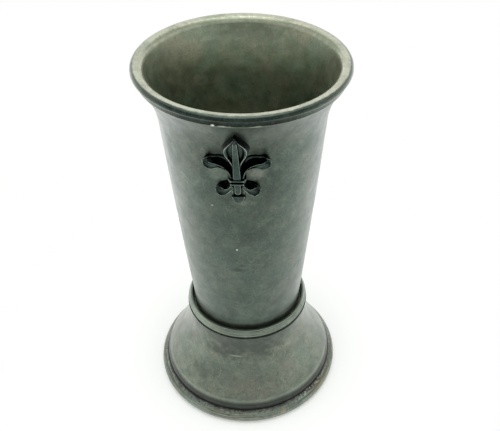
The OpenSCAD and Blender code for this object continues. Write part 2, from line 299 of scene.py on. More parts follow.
def collar_section():
    bore_r = wall_r(COLLAR_Z) + CREVICE_W
    bead = (COLLAR_R - QUIRK_H / 2 - COLLAR_BEAD_RAD, COLLAR_BEAD_Z)
    land_r = min(bore_r + COLLAR_LAND_W, bead[0] + COLLAR_BEAD_RAD)
    return ([(bore_r, FOOT_H), (COLLAR_R, FOOT_H), (COLLAR_R, FOOT_H + QUIRK_H)]
            + arc(bead, COLLAR_BEAD_RAD, *COLLAR_BEAD_ENDS)
            + [(land_r, COLLAR_Z - QUIRK_H), (land_r, COLLAR_Z), (bore_r, COLLAR_Z)])


def collar_solder_section():
    inner_r, outer_r = wall_r(FOOT_H) + FIT, wall_r(COLLAR_Z) + CREVICE_W - FIT
    dip_in, dip_z = (outer_r - inner_r) * DIP_IN_SHARE, FOOT_H + CREVICE_FILLET * DIP_Z_SHARE
    wall_side_z, collar_side_z = FOOT_H + CREVICE_FILLET, FOOT_H + CREVICE_FILLET * COLLAR_SIDE_SHARE
    return [(inner_r, FOOT_H), (outer_r, FOOT_H), (outer_r, collar_side_z), (outer_r - dip_in, dip_z),
            (inner_r + dip_in, dip_z), (wall_r(wall_side_z) + FIT, wall_side_z)]


def bell_shape():
    """Radius and angle of the bell's inward curve, which runs tangent to a line to its corner."""
    high, spread = FOOT_H - CORNER_H, SKIRT_R - NECK_R
    radius = BELL_CURVE_SHARE * (high ** 2 + spread ** 2) / (2 * spread)
    to_corner = (radius - spread, high)
    return radius, atan2(to_corner[1], to_corner[0]) - acos(radius / hypot(*to_corner))


def bell_side(inwards):
    radius, angle = bell_shape()
    shoulder = (SKIRT_R - SHOULDER_RAD, CORNER_H - SHOULDER_RAD * tan(angle / 2))
    curve = arc((NECK_R + radius, FOOT_H), radius + inwards, pi, pi + angle, 16)
    round_off = arc(shoulder, SHOULDER_RAD - inwards, angle, 0, 10)
    run, steps = np.subtract(round_off[0], curve[-1]), 8
    straight = [tuple(np.add(curve[-1], run * i / steps)) for i in range(1, steps)]
    return curve + straight + round_off + [(SKIRT_R - inwards, LEDGE_Z)]


def bell_section():
    under_flange = [p for p in reversed(bell_side(FOOT_T)) if p[1] < FLANGE_Z]
    return ([(wall_r(FOOT_H) + FIT, FOOT_H)] + bell_side(0) + under_flange
            + [(NECK_R - FOOT_T, FLANGE_Z), (wall_r(FLANGE_Z) + FIT, FLANGE_Z)])


def ring_section():
    centre = (SKIRT_R + RING_OUT - RING_RAD, RING_RAD)
    return ([(SKIRT_R - FOOT_T, 0)] + arc(centre, RING_RAD, -pi / 2, pi / 2, 20)
            + [(SKIRT_R + FIT, 2 * RING_RAD), (SKIRT_R + FIT, LEDGE_Z), (SKIRT_R - FOOT_T, LEDGE_Z)])


def foot_solder_section():
    centre = (SKIRT_R + RING_OUT - RING_RAD, RING_RAD)
    seat = arc(centre, RING_RAD + FIT / 2, pi / 2, SEAM_REACH, 6)
    toe_r = SKIRT_R + (seat[-1][0] - SKIRT_R) * SEAM_TOE_SHARE
    return ([(SKIRT_R + FIT, 2 * RING_RAD + FIT / 2)] + seat
            + [(toe_r, 2 * RING_RAD + SEAM_RISE * SEAM_TOE_SHARE), (SKIRT_R + FIT, SEAM_TOP_Z)])


def softened(section):
    """Rounds each sharp corner of a closed section, as wear does, where its sides leave room. The wall and
    the lip meet flush, so their corners stay almost sharp there."""
    points = [np.array(point) for i, point in enumerate(section)
              if hypot(*np.subtract(point, section[i - 1])) > SAME_PLACE]
    out = []
    for i, corner in enumerate(points):
        to_last, to_next = points[i - 1] - corner, points[(i + 1) % len(points)] - corner
        lengths = np.linalg.norm(to_last), np.linalg.norm(to_next)
        turn = pi - acos(np.clip(to_last @ to_next / (lengths[0] * lengths[1]), -1, 1))
        if turn < SHARP_TURN or corner[0] < EDGE_WEAR:
            out.append(tuple(corner))
            continue
        wear = FLUSH_WEAR if abs(corner[1] - TENON_Z) < FIT else EDGE_WEAR
        reach = min(wear * tan(turn / 2), WEAR_SIDE_SHARE * min(lengths))
        start, end = to_last / lengths[0] * reach, to_next / lengths[1] * reach
        out.append(tuple(corner + HELD_FLAT_SHARE * start))
        for t in np.linspace(0, 1, 5):
            out.append(tuple(corner + (1 - t) ** 2 * start + t ** 2 * end))
        out.append(tuple(corner + HELD_FLAT_SHARE * end))
    return out


# Turned pieces


def turning_tree():
    """Geometry Nodes that spin a section, given as a line of points, and make its surface uneven."""
    tree = bpy.data.node_groups.new("turned_piece", "GeometryNodeTree")
    for name, kind in (("Section", "Geometry"), ("Points", "Int"), ("Facets", "Int"),
                       ("Out of round", "Float"), ("Wave length", "Float"), ("Finish", "Material")):
        tree.interface.new_socket(name, in_out="INPUT", socket_type="NodeSocket" + kind)
    tree.interface.new_socket("Piece", in_out="OUTPUT", socket_type="NodeSocketGeometry")
    given = add(tree, "NodeGroupInput").outputs

    # A grid, whose columns become turns of the section
    rows = add(tree, "ShaderNodeMath", {0: given["Points"], 1: 1.0}, operation="ADD").outputs[0]
    columns = add(tree, "ShaderNodeMath", {0: given["Facets"], 1: 1.0}, operation="ADD").outputs[0]
    grid = add(tree, "GeometryNodeMeshGrid", {"Vertices X": columns, "Vertices Y": rows}).outputs[0]
    index = add(tree, "GeometryNodeInputIndex").outputs[0]
    ratio = add(tree, "ShaderNodeMath", {0: index, 1: rows}, operation="DIVIDE").outputs[0]
    column = add(tree, "ShaderNodeMath", {0: ratio}, operation="FLOOR").outputs[0]
    row = add(tree, "ShaderNodeMath", {0: index, 1: rows}, operation="MODULO").outputs[0]
    point = add(tree, "ShaderNodeMath", {0: row, 1: given["Points"]}, operation="MODULO").outputs[0]
    here = add(tree, "GeometryNodeInputPosition").outputs[0]
    place = add(tree, "GeometryNodeSampleIndex", {"Geometry": given["Section"], "Value": here,
                                                  "Index": point},
                data_type="FLOAT_VECTOR", domain="POINT").outputs[0]
    share = add(tree, "ShaderNodeMath", {0: column, 1: given["Facets"]}, operation="DIVIDE").outputs[0]
    turn = add(tree, "ShaderNodeMath", {0: share, 1: 2 * pi}, operation="MULTIPLY").outputs[0]
    spun = add(tree, "ShaderNodeVectorRotate", {"Vector": place, "Angle": turn},
               rotation_type="Z_AXIS").outputs[0]
    shaped = add(tree, "GeometryNodeSetPosition", {"Geometry": grid, "Position": spun}).outputs[0]
    closed = add(tree, "GeometryNodeMergeByDistance", {"Geometry": shaped,
                                                       "Distance": MERGE_REACH}).outputs[0]

    # Slight waves, which only go inwards and are alike on neighbours
    level = add(tree, "ShaderNodeVectorMath", {0: here, 1: (1, 1, 0)}, operation="MULTIPLY").outputs[0]
    outwards = add(tree, "ShaderNodeVectorMath", {0: level}, operation="NORMALIZE").outputs[0]
    scale = add(tree, "ShaderNodeMath", {0: 1.0, 1: given["Wave length"]}, operation="DIVIDE").outputs[0]
    noise = add(tree, "ShaderNodeTexNoise", {"Vector": here, "Scale": scale, "Detail": 1.0}).outputs[0]
    swing = add(tree, "ShaderNodeMath", {0: noise, 1: WAVE_TOP}, operation="SUBTRACT").outputs[0]
    reach = add(tree, "ShaderNodeMath", {0: swing, 1: given["Out of round"]},
                operation="MULTIPLY").outputs[0]
    offset = add(tree, "ShaderNodeVectorMath", {0: outwards, "Scale": reach}, operation="SCALE").outputs[0]
    uneven = add(tree, "GeometryNodeSetPosition", {"Geometry": closed, "Offset": offset}).outputs[0]

    smooth = add(tree, "GeometryNodeSetShadeSmooth", {"Geometry": uneven}).outputs[0]
    real = add(tree, "GeometryNodeRealizeInstances", {"Geometry": smooth}).outputs[0]
    done = add(tree, "GeometryNodeSetMaterial", {"Geometry": real, "Material": given["Finish"]}).outputs[0]
    add(tree, "NodeGroupOutput", {"Piece": done})
    return tree


def keep_result(piece, name, finish):
    """Turns a piece with its modifiers into a plain mesh whose faces point outwards."""
    graph = bpy.context.evaluated_depsgraph_get()
    mesh = bpy.data.meshes.new_from_object(piece.evaluated_get(graph))
    piece.modifiers.clear()
    piece.data = mesh
    mesh.name = piece.name = name
    shell = bmesh.new()
    shell.from_mesh(mesh)
    bmesh.ops.dissolve_degenerate(shell, dist=1e-7, edges=shell.edges)
    if shell.calc_volume(signed=True) < 0:
        bmesh.ops.reverse_faces(shell, faces=shell.faces)
    shell.to_mesh(mesh)
    shell.free()
    mesh.materials.clear()
    mesh.materials.append(finish)


def turn_piece(name, node, section, finish, facets=PLAIN_FACETS):
    """Spins a section into a piece that stands for a CAD node."""
    section = softened(section)
    line = bpy.data.meshes.new(name)
    line.from_pydata([(r, 0, z) for r, z in section], [(i, i + 1) for i in range(len(section) - 1)], [])
    piece = new_object(name, line)
    turning = piece.modifiers.new("turning", "NODES")
    turning.node_group = TURNING
    given = {"Points": len(section), "Facets": facets, "Out of round": OUT_OF_ROUND,
             "Wave length": WAVE_LENGTH, "Finish": finish}
    for item in TURNING.interface.items_tree:
        if item.in_out == "INPUT" and item.name in given:
            turning[item.identifier] = given[item.name]
    keep_result(piece, name, finish)
    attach(piece, "root")
    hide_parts(node)


# The fleur-de-lis. Places are shares: across in half widths, up in heights, out in reliefs

MIDDLE_RAILS_SHARES = (
    ((0.19, 0.37), (0.19, 0.50), (0.205, 0.61), (0.27, 0.69), (0.36, 0.75),
     (0.385, 0.80), (0.305, 0.865), (0.19, 0.925), (0.08, 0.978), (0.01, 1.012)),
    ((0.12, 0.37), (0.115, 0.50), (0.115, 0.59), (0.165, 0.65), (0.255, 0.715),
     (0.29, 0.785), (0.25, 0.845), (0.155, 0.90), (0.063, 0.95), (0.005, 0.985)))
MIDDLE_STATIONS = (0, 0.33, 0.8, 1)
MIDDLE_SECTION_SHARES = (
    (0, 0, 0, 0, 0), (0.9, 0.45, 0.88, 0.9, 0.5), (1, 0.5, 0.98, 1, 0.6),
    (1.06, 0.5, 0.95, 0.97, 0.6), (1.2, 0.46, 0.55, 0.6, 0.58), (1.5, 0.5, 0.62, 0.72, 0.6))
SIDE_RAILS_SHARES = (
    ((0.18, 0.41), (0.245, 0.49), (0.375, 0.54), (0.535, 0.545), (0.715, 0.513),
     (0.885, 0.535), (0.93, 0.59)),
    ((0.15, 0.415), (0.22, 0.505), (0.345, 0.565), (0.52, 0.6), (0.69, 0.605),
     (0.83, 0.6), (0.94, 0.6)),
    ((0.105, 0.43), (0.17, 0.555), (0.295, 0.67), (0.475, 0.69), (0.65, 0.675),
     (0.85, 0.667), (0.955, 0.615)))
SIDE_STATIONS = (0, 0.5, 0.7, 0.84, 1)
SIDE_SECTION_SHARES = (
    (-0.25, 0, 0, 0, 0, 0), (0, 0.84, 0.88, 0.86, 0.86, 0.84), (0.2, 0.84, 0.72, 0.62, 0.6, 0.84),
    (0.5, 0.86, 0.66, 0.55, 0.4, 0.84), (0.8, 0.92, 0.86, 0.75, 0.45, 0.84), (1, 1, 0.98, 0.9, 0.55, 0.86),
    (1.15, 0.7, 0.66, 0.6, 0.5, 0.86), (1.5, 0.25, 0.2, 0.22, 0.5, 0.84), (1.82, 0.1, 0.1, 0.2, 0.84, 0.84),
    (2, 0, 0, 0, 0, 0))
TAIL_RAILS_SHARES = (
    ((0.115, 0.245), (0.19, 0.215), (0.26, 0.185), (0.355, 0.155), (0.475, 0.137),
     (0.58, 0.163), (0.635, 0.21)),
    ((0.17, 0.305), (0.22, 0.28), (0.275, 0.255), (0.355, 0.24), (0.455, 0.247),
     (0.555, 0.242), (0.64, 0.22)),
    ((0.18, 0.355), (0.26, 0.337), (0.34, 0.327), (0.43, 0.315), (0.52, 0.297),
     (0.607, 0.268), (0.67, 0.225)))
TAIL_STATIONS = (0, 0.45, 0.65, 0.84, 1)
TAIL_SECTION_SHARES = (
    (-0.25, 0, 0, 0, 0, 0), (0, 0.6, 0.72, 0.8, 0.84, 0.82), (0.2, 0.6, 0.66, 0.66, 0.62, 0.82),
    (0.5, 0.62, 0.6, 0.52, 0.42, 0.82), (0.8, 0.75, 0.74, 0.62, 0.45, 0.82),
    (1, 0.9, 0.88, 0.74, 0.52, 0.84), (1.15, 0.65, 0.6, 0.56, 0.5, 0.84),
    (1.5, 0.25, 0.2, 0.25, 0.5, 0.82), (1.82, 0.1, 0.1, 0.2, 0.8, 0.82), (2, 0, 0, 0, 0, 0))

# The midrib from the band to the tip: up, half width and out. Its cross-section: across, and share of out
MIDRIB_SHARES = ((0.37, 0.11, 1.04), (0.5, 0.098, 1.08), (0.64, 0.084, 1.1), (0.8, 0.07, 1.08),
                 (0.915, 0.055, 0.98), (0.965, 0.022, 0.72))
MIDRIB_SECTION = ((-1.3, 0), (-1, 0.9), (-0.88, 0.985), (-0.6, 1), (0, 1), (0.6, 1), (0.88, 0.985),
                  (1, 0.9), (1.3, 0))

# The band, the knobs beside it and the lower stem are hulls of studs, which stand in pairs unless they are
# in the middle: across, up, radius and out. A stud tapers from its root to its top: down from out, spread
STUD_HULLS = (
    ((0.165, 0.392, 0.04, 0.95), (0.165, 0.335, 0.04, 0.95)),
    ((0.212, 0.385, 0.045, 0.8), (0.175, 0.33, 0.04, 0.8)),
    ((0.158, 0.386, 0.04, 1.14),),
    ((0.158, 0.338, 0.04, 1.14),),
    ((0.17, 0.3, 0.05, 0.3), (0.13, 0.12, 0.05, 0.3)),
    ((0, 0.31, 0.11, 0.85), (0, 0.195, 0.1, 0.8)),
    ((0.15, 0.113, 0.04, 0.6), (0, 0.073, 0.18, 0.58)))
STUD_ROOT_SPREAD = 1.25
STUD_TOPS = ((0.08, 0.83), (0, 0.74))


def on_wall(across, up, out):
    """A place on the ornament, which was soldered on very slightly askew."""
    middle_z = EMBLEM_LOW_Z + EMBLEM_H / 2
    x, y = across * EMBLEM_W / 2, (up - 0.5) * EMBLEM_H
    x, y = x - y * EMBLEM_TILT, y + x * EMBLEM_TILT
    z = middle_z + y
    turn = x / wall_r(middle_z)
    radius = wall_r(z) + out * EMBLEM_RELIEF
    return Vector((radius * sin(turn), -radius * cos(turn), z))


def along(rail, t):
    """A point on a rail, which is a smooth line through its points."""
    last = len(rail) - 1
    k = min(int(t * last), last - 1)
    s = t * last - k
    a, b = np.array(rail[k]), np.array(rail[k + 1])
    before = np.array(rail[k - 1]) if k > 0 else 2 * a - b
    after = np.array(rail[k + 2]) if k < last - 1 else 2 * b - a
    return a + (s * (b - before) + s * s * (2 * before - 5 * a + 4 * b - after)
                + s ** 3 * (3 * a - before - 3 * b + after)) / 2


def between(rails, place, t):
    first = min(max(int(np.floor(place)), 0), len(rails) - 2)
    a, b = along(rails[first], t), along(rails[first + 1], t)
    return a + (b - a) * (place - first)


def smooth_through(x, y, at):
    """Values of a curve through points that never swings past them, so edges stay crisp."""
    x, y = np.array(x, float), np.array(y, float)
    slope = np.diff(y) / np.diff(x)
    tangent = np.zeros(len(x))
    inner = slope[:-1] * slope[1:] > 0
    tangent[1:-1][inner] = 2 * slope[:-1][inner] * slope[1:][inner] / (slope[:-1] + slope[1:])[inner]
    tangent[0], tangent[-1] = slope[0], slope[-1]
    k = np.clip(np.searchsorted(x, at, side="right") - 1, 0, len(x) - 2)
    h = x[k + 1] - x[k]
    s = (at - x[k]) / h
    return ((1 + 2 * s) * (1 - s) ** 2 * y[k] + s * (1 - s) ** 2 * h * tangent[k]
            + s * s * (3 - 2 * s) * y[k + 1] + s * s * (s - 1) * h * tangent[k + 1])


def skin(form, rings):
    """Joins rings of points with faces, and closes both ends."""
    for ring, following in zip(rings, rings[1:]):
        for j in range(len(ring)):
            k = (j + 1) % len(ring)
            form.faces.new((ring[j], ring[k], following[k], following[j]))
    form.faces.new(reversed(rings[0]))
    form.faces.new(rings[-1])


def add_leaf(form, rails, stations, section):
    """Adds one closed leaf over its rails."""
    rows = np.array(section, float)
    spans = zip(rows[:-1, 0], rows[1:, 0])
    places = np.unique(np.concatenate([np.linspace(a, b, LEAF_FINENESS + 1) for a, b in spans]))
    rings = []
    for t in np.linspace(0, 1, LEAF_STEPS + 1):
        relief = [smooth_through(stations, row[1:], np.array([t]))[0] for row in rows]
        reliefs = smooth_through(rows[:, 0], relief, places)
        flat = [between(rails, place, t) for place in places]
        top = [form.verts.new(on_wall(*p, out)) for p, out in zip(flat, reliefs)]
        root = [form.verts.new(on_wall(*p, EMBLEM_ROOT_SHARE)) for p in reversed(flat)]
        rings.append(top + root)
    skin(form, rings)


def add_midrib(form):
    """Adds the midrib, a bar with softly rounded edges."""
    ups, halves, outs = (np.array(column) for column in zip(*MIDRIB_SHARES))
    rings = []
    for up in np.linspace(ups[0], ups[-1], MIDRIB_STEPS):
        half, out = np.interp(up, ups, halves), np.interp(up, ups, outs)
        ring = [on_wall(half * x, up, out * h) for x, h in MIDRIB_SECTION]
        ring += [on_wall(half * x, up, EMBLEM_ROOT_SHARE) for x, _ in reversed(MIDRIB_SECTION)]
        rings.append([form.verts.new(p) for p in ring])
    skin(form, rings)


def stud(across, up, radius_share, out):
    """Points of a tapered stud that stands out from the wall."""
    points = []
    rings = [(EMBLEM_ROOT_SHARE, STUD_ROOT_SPREAD)] + [(out - down, spread) for down, spread in STUD_TOPS]
    for level, spread in rings:
        reach = radius_share * spread
        for i in range(STUD_SIDES):
            turn = 2 * pi * i / STUD_SIDES
            rise = reach * sin(turn) * EMBLEM_W / 2 / EMBLEM_H
            points.append(on_wall(across + reach * cos(turn), up + rise, level))
    return points


def add_hull(form, points):
    """Adds the tightest convex form round a set of points."""
    knob = bmesh.new()
    for point in points:
        knob.verts.new(point)
    result = bmesh.ops.convex_hull(knob, input=knob.verts)
    loose = {v for v in result["geom_interior"] + result["geom_unused"] if isinstance(v, bmesh.types.BMVert)}
    bmesh.ops.delete(knob, geom=list(loose), context="VERTS")
    part = bpy.data.meshes.new("knob")
    knob.to_mesh(part)
    knob.free()
    form.from_mesh(part)
    bpy.data.meshes.remove(part)


def mirrored(rails):
    return tuple(tuple((-x, y) for x, y in rail) for rail in rails)


def make_fleur(finish):
    """The casting: leaves, midrib and band fused into one skin, whose edges are a little worn."""
    form = bmesh.new()
    half, rails = MIDDLE_SECTION_SHARES, MIDDLE_RAILS_SHARES
    other_half = tuple((3 - row[0],) + row[1:] for row in reversed(half[:-1]))
    add_leaf(form, rails + mirrored(rails)[::-1], MIDDLE_STATIONS, half + other_half)
    for rails, stations, section in ((SIDE_RAILS_SHARES, SIDE_STATIONS, SIDE_SECTION_SHARES),
                                     (TAIL_RAILS_SHARES, TAIL_STATIONS, TAIL_SECTION_SHARES)):
        add_leaf(form, rails, stations, section)
        add_leaf(form, mirrored(rails), stations, section)
    add_midrib(form)
    for studs in STUD_HULLS:
        points = []
        for across, *rest in studs:
            for place in (across, -across) if across else (0,):
                points += stud(place, *rest)
        add_hull(form, points)
    bmesh.ops.recalc_face_normals(form, faces=form.faces)
    mesh = bpy.data.meshes.new("fleur_de_lis_casting")
    form.to_mesh(mesh)
    form.free()
    piece = new_object("fleur_de_lis_casting", mesh)
    fused = piece.modifiers.new("fused", "REMESH")
    fused.mode = "VOXEL"
    fused.voxel_size = CAST_VOXEL
    fused.use_smooth_shade = True
    worn = piece.modifiers.new("worn", "SMOOTH")
    worn.factor = 0.5
    worn.iterations = 3
    keep_result(piece, "fleur_de_lis_casting", finish)
    note_wear(piece.data)
    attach(piece, "root")
    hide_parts("fleur_de_lis")


def note_wear(mesh):
    """Stores on each point how far it stands out of its surroundings, in millimetres: first of the
    nearest, which finds edges and creases, and then of wider ones, which finds hollows."""
    count = len(mesh.vertices)
    places, normals = np.empty(3 * count), np.empty(3 * count)
    ends = np.empty(2 * len(mesh.edges), dtype=np.int32)
    mesh.vertices.foreach_get("co", places)
    mesh.vertices.foreach_get("normal", normals)
    mesh.edges.foreach_get("vertices", ends)
    places, normals, ends = places.reshape(-1, 3), normals.reshape(-1, 3), ends.reshape(-1, 2)
    neighbours = np.bincount(ends.ravel(), minlength=count)[:, None]
    smooth = places
    for name, rounds in (("near_rise", 8), ("wide_rise", 150)):
        for _ in range(rounds):
            sums = [np.bincount(ends[:, 0], smooth[ends[:, 1], k], count)
                    + np.bincount(ends[:, 1], smooth[ends[:, 0], k], count) for k in range(3)]
            smooth = np.stack(sums, axis=1) / neighbours
        rise = ((places - smooth) * normals).sum(axis=1) / MM
        mesh.attributes.new(name, "FLOAT", "POINT").data.foreach_set("value", rise)


# Finishes. A mark is its middle and its reach along X, Y and Z in millimetres, its strength and its colour

WALL_MARKS = (
    ((-1.2, -25.3, 76.6), (3.2, 9.0, 1.5), 0.8, "#262d27"),
    ((1.1, -25.5, 79.0), (2.2, 9.0, 0.9), 0.7, "#262d27"),
    ((7.7, -25.8, 94.6), (2.2, 9.0, 1.4), 0.4, "#39423b"),
    ((-1.2, -26.3, 87.5), (0.42, 6.0, 0.35), 1.0, "#dfe6dc"),
    ((-9.2, -26.4, 108.1), (0.5, 6.0, 0.5), 0.7, "#a9b5a6"),
    # The next three: pale patches under the side leaves and the ornament's bottom, partly bare metal and
    # partly painted reflection
    ((-6.6, -28.0, 123.4), (4.4, 12.0, 3.6), 0.4, "#7f8a7c"),
    ((5.9, -28.0, 123.6), (4.2, 12.0, 3.4), 0.45, "#878b7e"),
    ((1.5, -28.2, 110.8), (5.5, 12.0, 1.6), 0.35, "#7c8276"),
    ((-17.0, -25.0, 138.5), (16.0, 12.0, 4.0), 0.45, "#3a443d"))
# Painted shade: darker at the back of the cup's mouth
MOUTH_BACK_SHADE = (((0, 33.0, 145.0), (24.0, 16.0, 9.0), 0.7, "#545d4b"),)
# Painted highlights: glints on the lip's lower arris
LIP_ARRIS_GLINTS = (
    ((-6.3, -34.9, 145.9), (0.9, 3.0, 0.6), 1.0, "#e6e8d8"),
    ((-3.0, -35.4, 145.8), (2.2, 3.0, 0.4), 0.7, "#bcc3b1"),
    ((6.5, -34.9, 145.7), (2.6, 3.0, 0.4), 0.6, "#a9b19f"))
FOOT_MARKS = (
    # Partly a stain and partly painted shade, in front under the collar
    ((1.0, -25.2, 32.5), (28.0, 9.0, 8.5), 0.8, "#303932"),
    ((-11.0, -23.4, 28.5), (9.0, 9.0, 4.0), 0.6, "#384037"),
    ((7.5, -24.1, 30.6), (7.0, 8.0, 3.0), 0.55, "#3c433a"),
    ((-17.4, -25.6, 16.3), (6.0, 7.0, 4.0), 0.55, "#384037"),
    ((-3.2, -25.7, 27.6), (4.0, 6.0, 0.5), 0.5, "#8e9687"),
    ((24.5, -14.0, 24.0), (6.0, 8.0, 3.0), 0.4, "#454c42"))
BROWN_DIRT = (
    ((33.0, -17.0, 4.0), (9.0, 14.0, 9.0), 0.3, "#6e6043"),
    ((17.0, -34.5, 3.5), (1.6, 4.0, 2.0), 0.6, "#8f8468"))
SOLDER_PATCH = (((29.0, -23.0, 5.0), (11.0, 12.0, 6.0), 1.0, "#ffffff"),)
LOBE_CHEEKS = (
    ((-8.4, -28.5, 127.7), (3.6, 9.0, 1.8), 0.6, "#4c5c55"),
    ((8.4, -28.5, 127.7), (3.6, 9.0, 1.8), 0.6, "#4c5c55"),
    ((-5.2, -28.5, 117.2), (2.6, 9.0, 1.8), 0.5, "#46554f"),
    ((5.2, -28.5, 117.2), (2.6, 9.0, 1.8), 0.5, "#46554f"))


def start_metal(name, roughness=0.42, wax=0.4):
    """A new metal under a thin film of old wax, with its nodes, its shader and the place on the piece."""
    material = bpy.data.materials.new(name)
    material.use_nodes = True
    tree = material.node_tree
    tree.nodes.clear()
    shader = add(tree, "ShaderNodeBsdfPrincipled", {"Metallic": 1.0, "Roughness": roughness,
                                                    "Coat Weight": wax, "Coat Roughness": 0.35})
    add(tree, "ShaderNodeOutputMaterial", {"Surface": shader.outputs[0]})
    here = add(tree, "ShaderNodeTexCoord").outputs["Object"]
    return material, tree, shader, here


def clouds(tree, here, size, low, high, detail=3.0):
    """Soft patches of a size in metres: 0 below one level of the noise, and 1 above another."""
    noise = add(tree, "ShaderNodeTexNoise", {"Vector": here, "Scale": 1 / size, "Detail": detail})
    return add(tree, "ShaderNodeMapRange", {"Value": noise.outputs[0], "From Min": low,
                                            "From Max": high}).outputs[0]


def painted(tree, colour, *coats):
    """Paints coats over a colour. Each has a mask, a strength and a colour, as a hex value or a socket."""
    for mask, strength, coat in coats:
        share = add(tree, "ShaderNodeMath", {0: mask, 1: strength}, operation="MULTIPLY").outputs[0]
        ends = [linear(c) if isinstance(c, str) else c for c in (colour, coat)]
        colour = add(tree, "ShaderNodeMix", {"Factor": share, "A": ends[0], "B": ends[1]},
                     data_type="RGBA").outputs["Result"]
    return colour


def radius_of(tree, here):
    """The distance of a place from the beaker's axis."""
    out = add(tree, "ShaderNodeVectorMath", {0: here, 1: (1, 1, 0)}, operation="MULTIPLY").outputs[0]
    return add(tree, "ShaderNodeVectorMath", {0: out}, operation="LENGTH").outputs["Value"]


def lathe_lines(tree, here, pitch):
    """Fine rings round the axis, as a lathe tool and a rag leave them, broken up along their way."""
    height = add(tree, "ShaderNodeSeparateXYZ", {"Vector": here}).outputs["Z"]
    drift = add(tree, "ShaderNodeTexNoise", {"Vector": here, "Scale": 1 / (25 * MM), "Detail": 1.0})
    slow = add(tree, "ShaderNodeMath", {0: drift.outputs[0], 1: 6 * pitch}, operation="MULTIPLY").outputs[0]
    ring = add(tree, "ShaderNodeCombineXYZ", {"X": radius_of(tree, here), "Y": height, "Z": slow})
    return add(tree, "ShaderNodeTexNoise", {"Vector": ring.outputs[0], "Scale": 1 / pitch,
                                            "Detail": 2.0}).outputs[0]


def marked(tree, here, colour, marks):
    """Paints ragged marks over a colour."""
    crumbled = add(tree, "ShaderNodeTexNoise", {"Vector": here, "Scale": 1 / MARK_CRUMB,
                                                "Detail": 6.0}).outputs[0]
    for middle, reach, strength, shade in marks:
        moved = add(tree, "ShaderNodeVectorMath", {0: here, 1: [m * MM for m in middle]},
                    operation="SUBTRACT").outputs[0]
        shares = add(tree, "ShaderNodeVectorMath", {0: moved, 1: [1 / (r * MM) for r in reach]},
                     operation="MULTIPLY").outputs[0]
        away = add(tree, "ShaderNodeVectorMath", {0: shares}, operation="LENGTH").outputs["Value"]
        ragged = add(tree, "ShaderNodeMath", {0: crumbled, 1: MARK_RAGGED, 2: away},
                     operation="MULTIPLY_ADD").outputs[0]
        mask = add(tree, "ShaderNodeMapRange", {"Value": ragged, "From Min": MARK_FROM,
                                                "From Max": MARK_FULL}).outputs[0]
        colour = painted(tree, colour, (mask, strength, shade))
    return colour


def patina(tree, here, cool, warm, dark, pale, shift=0.0):
    """Old pewter's mottle: greenish and reddish greys in patches, darker clouds, paler rubs and fine grain.
    The shift in metres gives a finish a mottle of its own."""
    there = add(tree, "ShaderNodeVectorMath", {0: here, 1: (shift, 0, 0)}, operation="ADD").outputs[0]
    return painted(tree, cool,
                   (clouds(tree, there, 12 * MM, 0.38, 0.62), 1.0, warm),
                   (clouds(tree, there, 7 * MM, 0.46, 0.7, 6.0), 0.75, dark),
                   (clouds(tree, there, 3 * MM, 0.5, 0.75, 6.0), 0.3, pale),
                   (clouds(tree, there, 1.6 * MM, 0.54, 0.68, 5.0), 0.5, dark),
                   (clouds(tree, there, 0.7 * MM, 0.5, 0.75, 2.0), 0.6, dark),
                   (clouds(tree, there, 0.6 * MM, 0.58, 0.75, 2.0), 0.5, pale),
                   (scratches(tree, there), 0.35, pale))


def scratches(tree, here):
    """Long hairline scratches, drawn wider than real ones so that they show: 1 on a line and 0 beside it."""
    bent = add(tree, "ShaderNodeTexNoise", {"Vector": here, "Scale": 1 / (14 * MM), "Detail": 1.0})
    off_middle = add(tree, "ShaderNodeMath", {0: bent.outputs[0], 1: 0.5}, operation="SUBTRACT").outputs[0]
    away = add(tree, "ShaderNodeMath", {0: off_middle}, operation="ABSOLUTE").outputs[0]
    line = add(tree, "ShaderNodeMapRange", {"Value": away, "From Min": 0.006, "From Max": 0.002}).outputs[0]
    return add(tree, "ShaderNodeMath", {0: line, 1: clouds(tree, here, 5 * MM, 0.52, 0.6)},
               operation="MULTIPLY").outputs[0]


def height_band(tree, here, level, reach):
    """1 at a height on the beaker, and 0 beyond a ragged reach from it."""
    height = add(tree, "ShaderNodeSeparateXYZ", {"Vector": here}).outputs["Z"]
    return band(tree, here, height, level, reach)


def band(tree, here, measure, level, reach):
    """1 where a measure, such as the height or the radius, is at a level, and 0 beyond a ragged reach."""
    away = add(tree, "ShaderNodeMath", {0: measure, 1: level}, operation="SUBTRACT").outputs[0]
    far = add(tree, "ShaderNodeMath", {0: away}, operation="ABSOLUTE").outputs[0]
    uneven = add(tree, "ShaderNodeTexNoise", {"Vector": here, "Scale": 1 / (2 * MM), "Detail": 3.0})
    edge = add(tree, "ShaderNodeMath", {0: uneven.outputs[0], 1: -reach, 2: far},
               operation="MULTIPLY_ADD").outputs[0]
    return add(tree, "ShaderNodeMapRange", {"Value": edge, "From Min": reach / 2,
                                            "From Max": -reach / 4}).outputs[0]


def finish_metal(tree, shader, here, colour, lines, roughness=SATIN, dents=DENT_H):
    """Joins a colour to the shader with roughness in patches, lathe lines, grain and shallow dents."""
    tree.links.new(colour, shader.inputs["Base Color"])
    patchy = add(tree, "ShaderNodeMapRange", {"Value": clouds(tree, here, 4 * MM, 0.3, 0.7, 4.0),
                                              "To Min": roughness[0], "To Max": roughness[1]})
    tree.links.new(patchy.outputs[0], shader.inputs["Roughness"])
    fine = add(tree, "ShaderNodeMath", {0: clouds(tree, here, 0.6 * MM, 0.3, 0.7), 1: GRAIN_H},
               operation="MULTIPLY").outputs[0]
    ringed = add(tree, "ShaderNodeMath", {0: lines, 1: LATHE_LINE_H, 2: fine},
                 operation="MULTIPLY_ADD").outputs[0]
    height = add(tree, "ShaderNodeMath", {0: clouds(tree, here, 9 * MM, 0.2, 0.8, 2.0), 1: dents,
                                          2: ringed}, operation="MULTIPLY_ADD").outputs[0]
    add_relief(tree, shader, height)


